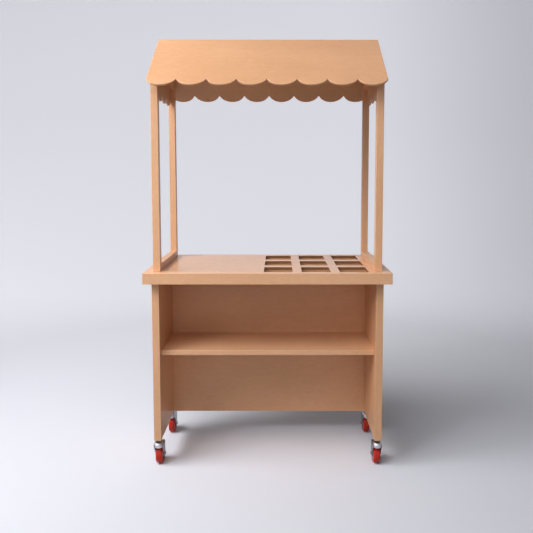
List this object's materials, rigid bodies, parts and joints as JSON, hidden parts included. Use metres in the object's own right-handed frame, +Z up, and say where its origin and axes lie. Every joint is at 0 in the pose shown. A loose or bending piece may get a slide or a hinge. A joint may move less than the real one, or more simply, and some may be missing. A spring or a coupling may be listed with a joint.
{
  "type": "rolling snack cart",
  "caption": "Open-sided snack cart: counter with square tray pockets over an open cabinet with a shelf, scalloped gable roof on posts, swivel casters.",
  "frame": {"origin": "centre of the cart's footprint at floor level, under the middle of the counter", "axes": "+X to the server's right along the counter, +Y from the open shelf side to the customer's side, +Z up"},
  "size_m": [1.2, 0.6862, 2.151],
  "materials": {
    "board": "satin-sealed fine-grained beech-coloured board",
    "core_board": "plain sanded core board",
    "zinc_steel": "bright zinc-plated pressed steel",
    "wheel_hub": "grey moulded hub",
    "red_tyre": "smooth red polyurethane tread"
  },
  "bodies": {
    "cart": {"counter_top_sheet": "board", "apron_front": "board", "apron_back": "board", "apron_left": "board", "apron_right": "board", "post_front_left": "board", "post_front_right": "board", "post_back_left": "board", "post_back_right": "board", "sill_left": "board", "sill_right": "board", "rafter_front_left": "board", "rafter_front_right": "board", "rafter_back_left": "board", "rafter_back_right": "board", "gable_valance_left": "board", "gable_valance_right": "board", "roof_front": "board", "roof_back": "board", "ridge_batten": "board", "side_panel_left": "board", "side_panel_right": "board", "back_panel": "board", "shelf": "board", "counter_core": "core_board", "counter_base_sheet": "core_board", "caster_stem_front_left": "zinc_steel", "caster_stem_front_right": "zinc_steel", "caster_stem_back_left": "zinc_steel", "caster_stem_back_right": "zinc_steel"},
    "swivel_front_left": {"caster_fork_front_left": "zinc_steel"},
    "wheel_front_left": {"wheel_hub_front_left": "wheel_hub", "wheel_tyre_front_left": "red_tyre"},
    "swivel_front_right": {"caster_fork_front_right": "zinc_steel"},
    "wheel_front_right": {"wheel_hub_front_right": "wheel_hub", "wheel_tyre_front_right": "red_tyre"},
    "swivel_back_left": {"caster_fork_back_left": "zinc_steel"},
    "wheel_back_left": {"wheel_hub_back_left": "wheel_hub", "wheel_tyre_back_left": "red_tyre"},
    "swivel_back_right": {"caster_fork_back_right": "zinc_steel"},
    "wheel_back_right": {"wheel_hub_back_right": "wheel_hub", "wheel_tyre_back_right": "red_tyre"}
  },
  "joints": [
    {"name": "swivel_turn_front_left", "type": "hinge", "parent": "cart", "child": "swivel_front_left", "pos_m": [-0.5485, -0.225, 0.125], "axis": [0, 0, 1], "continuous": true},
    {"name": "wheel_roll_front_left", "type": "hinge", "parent": "swivel_front_left", "child": "wheel_front_left", "pos_m": [-0.5485, -0.187, 0.0475], "axis": [1, 0, 0], "continuous": true},
    {"name": "swivel_turn_front_right", "type": "hinge", "parent": "cart", "child": "swivel_front_right", "pos_m": [0.5485, -0.225, 0.125], "axis": [0, 0, 1], "continuous": true},
    {"name": "wheel_roll_front_right", "type": "hinge", "parent": "swivel_front_right", "child": "wheel_front_right", "pos_m": [0.5485, -0.187, 0.0475], "axis": [1, 0, 0], "continuous": true},
    {"name": "swivel_turn_back_left", "type": "hinge", "parent": "cart", "child": "swivel_back_left", "pos_m": [-0.5485, 0.125, 0.125], "axis": [0, 0, 1], "continuous": true},
    {"name": "wheel_roll_back_left", "type": "hinge", "parent": "swivel_back_left", "child": "wheel_back_left", "pos_m": [-0.5485, 0.163, 0.0475], "axis": [1, 0, 0], "continuous": true},
    {"name": "swivel_turn_back_right", "type": "hinge", "parent": "cart", "child": "swivel_back_right", "pos_m": [0.5485, 0.125, 0.125], "axis": [0, 0, 1], "continuous": true},
    {"name": "wheel_roll_back_right", "type": "hinge", "parent": "swivel_back_right", "child": "wheel_back_right", "pos_m": [0.5485, 0.163, 0.0475], "axis": [1, 0, 0], "continuous": true}
  ]
}
